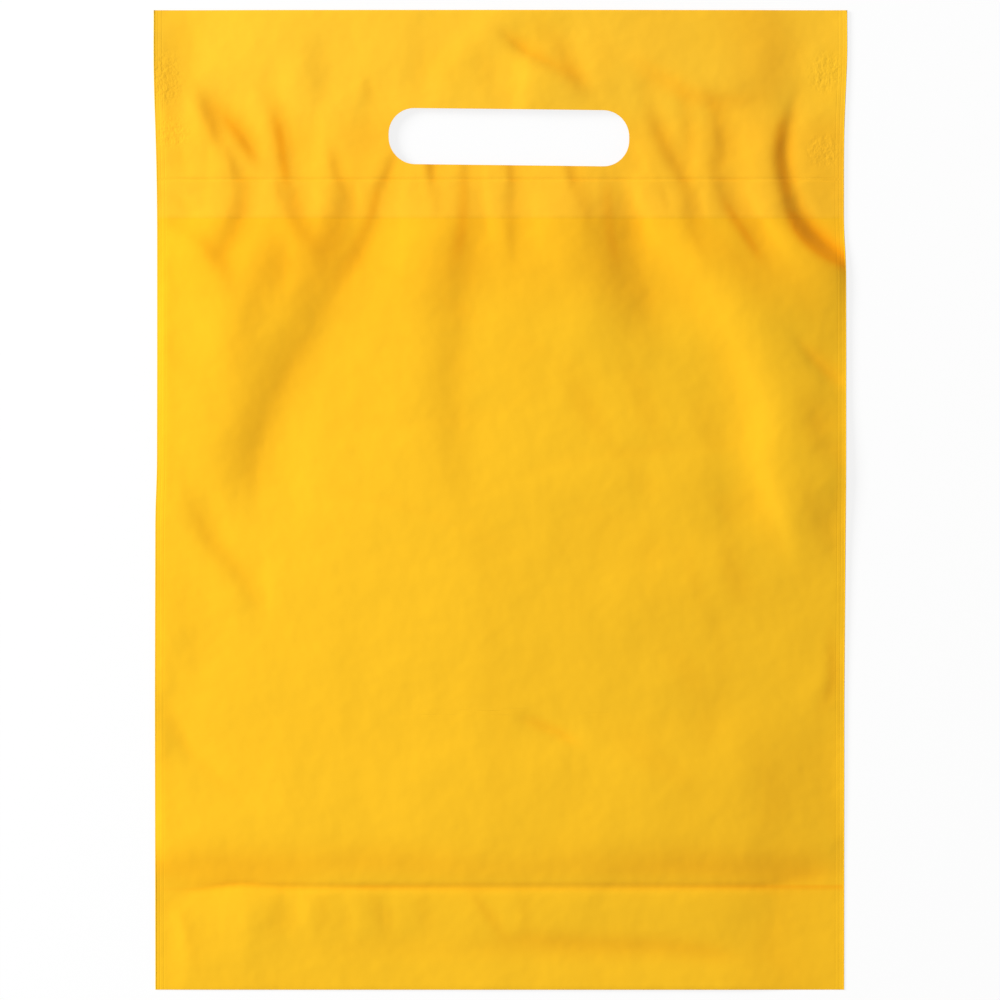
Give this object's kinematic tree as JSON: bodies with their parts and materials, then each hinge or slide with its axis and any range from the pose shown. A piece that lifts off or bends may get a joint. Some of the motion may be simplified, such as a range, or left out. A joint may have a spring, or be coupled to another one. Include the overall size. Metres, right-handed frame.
{
  "type": "plastic carrier bag",
  "caption": "Flat polythene carrier bag with a punched hand slot, turned-in welded hems, a folded bottom gusset and welded sides, lying on its back.",
  "frame": {"origin": "under the middle of the bag's outline, on the surface that the bag lies on", "axes": "+X across the bag to the right of its front, +Y up the bag to its mouth, +Z out of the front, away from the surface that it lies on"},
  "size_m": [0.3, 0.425, 0.0116],
  "materials": {
    "yellow_film": "satin"
  },
  "bodies": {
    "root": {"carrier_bag": "yellow_film"}
  },
  "joints": []
}
